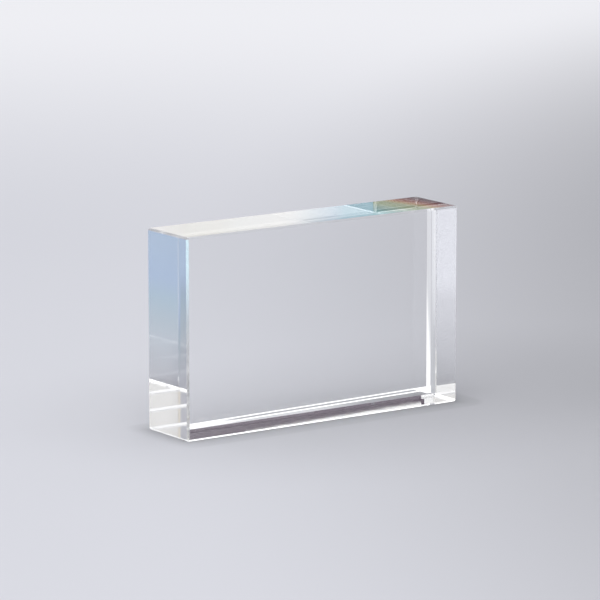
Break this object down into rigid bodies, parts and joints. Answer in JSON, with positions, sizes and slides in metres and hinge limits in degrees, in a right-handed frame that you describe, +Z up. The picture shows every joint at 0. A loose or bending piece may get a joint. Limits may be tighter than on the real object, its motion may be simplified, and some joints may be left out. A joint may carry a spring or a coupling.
{
  "type": "acrylic block frame",
  "caption": "Free-standing clear acrylic block for a photo print on its back face, with polished faces and small chamfers on all edges.",
  "frame": {"origin": "middle of the base face, where the block stands", "axes": "+X along the width, to the right seen from the front; +Y from the front face to the picture face at the back; +Z up"},
  "size_m": [0.13, 0.028, 0.08],
  "materials": {
    "clear_acrylic": "polished clear cast acrylic"
  },
  "bodies": {
    "root": {"acrylic_block": "clear_acrylic"}
  },
  "joints": []
}
